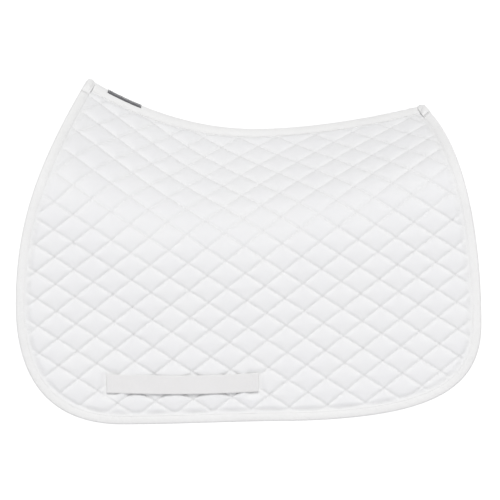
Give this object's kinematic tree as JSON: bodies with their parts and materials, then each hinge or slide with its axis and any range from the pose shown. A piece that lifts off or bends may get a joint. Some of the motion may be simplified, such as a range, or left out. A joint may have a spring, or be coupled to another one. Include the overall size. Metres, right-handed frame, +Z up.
{
  "type": "saddle pad",
  "caption": "Quilted cotton saddle pad draped over a horse's back, with two shaped flaps, a bound edge, spine tape and a webbing girth loop on each side.",
  "frame": {"origin": "lowest point of the spine seam's underside, where the pad rests on the horse's back", "axes": "+X towards the withers (front), +Y to the horse's left, +Z up"},
  "size_m": [0.7451, 0.3772, 0.5581],
  "materials": {
    "cotton": "matte white quilted cotton",
    "foam": "soft wadding",
    "binding": "matte white woven tape",
    "webbing": "white woven webbing",
    "thread": "white sewing thread",
    "label": "grey woven label with no text"
  },
  "bodies": {
    "spine": {"spine_tape": "binding", "spine_lining_tape": "binding", "spine_foam_strip": "foam", "woven_label": "label", "binding_fold_front": "binding", "binding_fold_rear": "binding"},
    "left_flap": {"lining_left": "cotton", "foam_core_left": "foam", "quilted_shell_left": "cotton", "edge_binding_left": "binding", "girth_loop_left": "webbing", "girth_loop_tack_front_left": "thread", "girth_loop_tack_rear_left": "thread"},
    "right_flap": {"lining_right": "cotton", "foam_core_right": "foam", "quilted_shell_right": "cotton", "edge_binding_right": "binding", "girth_loop_right": "webbing", "girth_loop_tack_front_right": "thread", "girth_loop_tack_rear_right": "thread"}
  },
  "joints": [
    {"name": "left_fold", "type": "hinge", "parent": "spine", "child": "left_flap", "pos_m": [0, 0, 0.06125], "axis": [0.9969, 0, 0.0786], "range_deg": [-12, 40], "deforming": ["spine_tape", "spine_lining_tape", "spine_foam_strip", "woven_label", "binding_fold_front", "binding_fold_rear"]},
    {"name": "right_fold", "type": "hinge", "parent": "spine", "child": "right_flap", "pos_m": [0, 0, 0.06125], "axis": [-0.9969, 0, -0.0786], "range_deg": [-12, 40], "deforming": ["spine_tape", "spine_lining_tape", "spine_foam_strip", "woven_label", "binding_fold_front", "binding_fold_rear"]}
  ]
}
